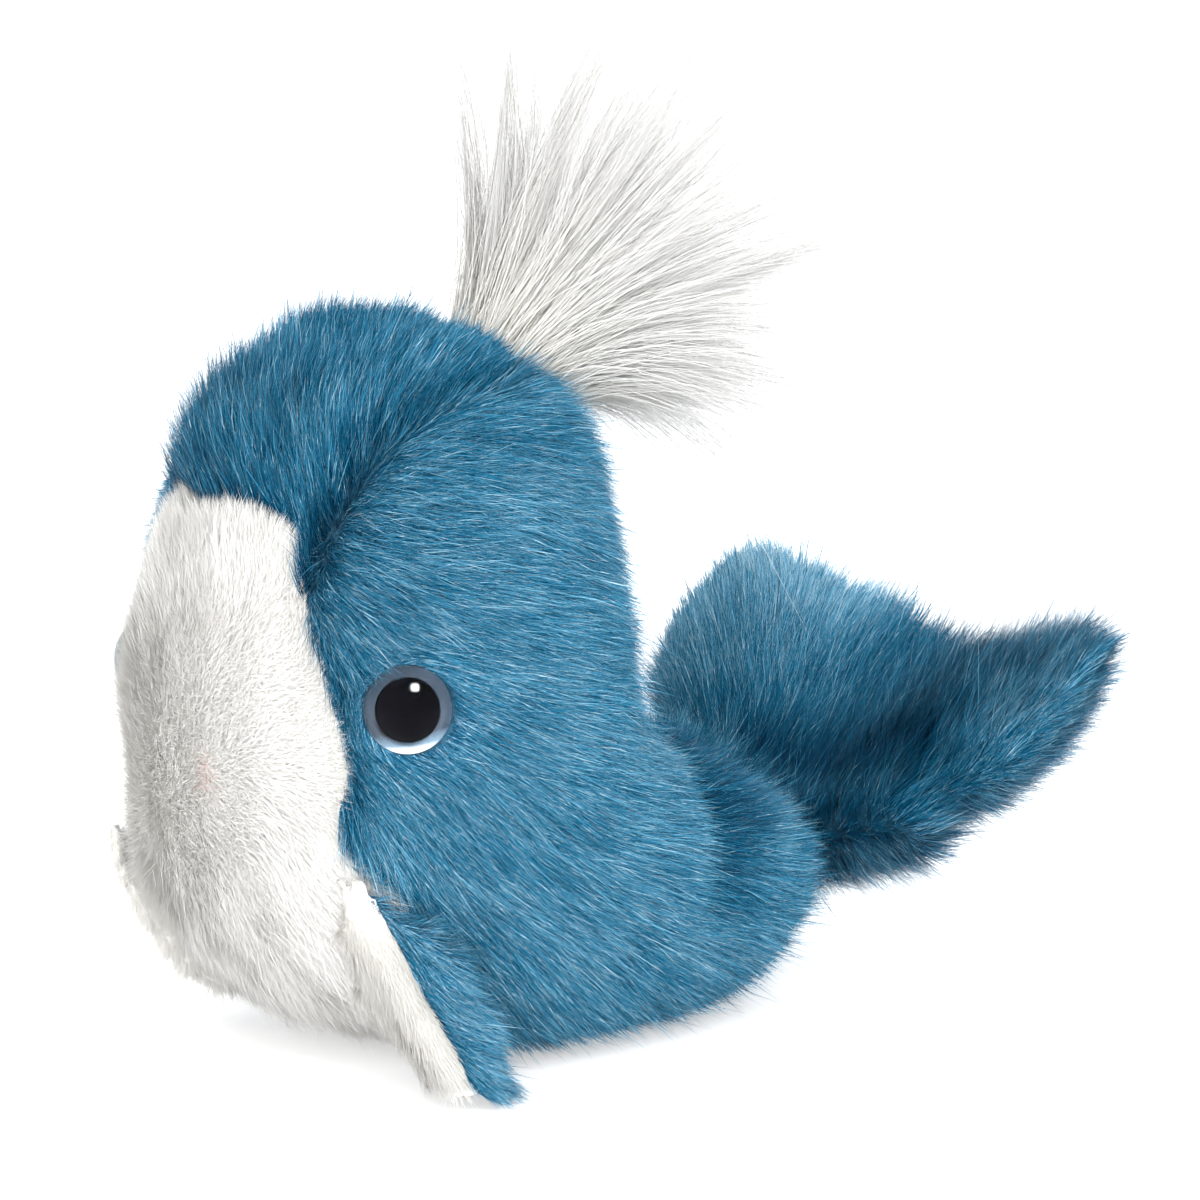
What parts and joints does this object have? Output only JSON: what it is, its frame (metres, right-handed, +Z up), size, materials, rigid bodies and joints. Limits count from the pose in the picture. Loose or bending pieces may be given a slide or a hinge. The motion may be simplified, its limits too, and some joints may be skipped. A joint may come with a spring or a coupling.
{
  "type": "plush whale",
  "caption": "Small sitting plush whale with a white face and belly, a white spout of long pile, two flippers and a raised two-lobed fluke.",
  "frame": {"origin": "on the flat underside of the belly, below the head, at the level that the toy rests on", "axes": "+Z up, the face looks along -Y, the tail runs back along +Y, +X is the whale's left"},
  "size_m": [0.0899, 0.1451, 0.131],
  "materials": {
    "white_pile": "short dense cut pile, matt",
    "blue_pile": "cut pile with a soft sheen",
    "spout_pile": "long silky pile",
    "fibre_filling": "loose matt fibre",
    "clear_dome": "clear, polished",
    "black_pupil": "glossy",
    "slate_iris": "satin",
    "washer_nylon": "moulded, matt"
  },
  "bodies": {
    "body": {"face_belly_panel": "white_pile", "crown_gusset": "blue_pile", "side_panel_left": "blue_pile", "side_panel_right": "blue_pile", "body_filling": "fibre_filling", "spout_tuft": "spout_pile", "eye_left_lens": "clear_dome", "eye_left_pupil": "black_pupil", "eye_left_iris": "slate_iris", "eye_left_washer": "washer_nylon", "eye_right_lens": "clear_dome", "eye_right_pupil": "black_pupil", "eye_right_iris": "slate_iris", "eye_right_washer": "washer_nylon"},
    "flipper_left": {"flipper_left_outer": "blue_pile", "flipper_left_inner": "white_pile", "flipper_left_filling": "fibre_filling"},
    "flipper_right": {"flipper_right_outer": "blue_pile", "flipper_right_inner": "white_pile", "flipper_right_filling": "fibre_filling"},
    "fluke": {"fluke_upper": "blue_pile", "fluke_lower": "blue_pile", "fluke_filling": "fibre_filling"}
  },
  "joints": [
    {"name": "flipper_left_seam", "type": "hinge", "parent": "body", "child": "flipper_left", "pos_m": [0.02715, -0.0346, 0.03445], "axis": [0.144, -0.5521, 0.8212], "range_deg": [-8, 30], "stiffness_Nm_per_rad": 0.02},
    {"name": "flipper_right_seam", "type": "hinge", "parent": "body", "child": "flipper_right", "pos_m": [-0.02715, -0.0346, 0.03445], "axis": [0.144, 0.5521, -0.8212], "range_deg": [-38, 0], "stiffness_Nm_per_rad": 0.02},
    {"name": "tail_seam", "type": "hinge", "parent": "body", "child": "fluke", "pos_m": [0, 0.062, 0.02258], "axis": [1, 0, 0], "range_deg": [-20, 25], "stiffness_Nm_per_rad": 0.1}
  ]
}
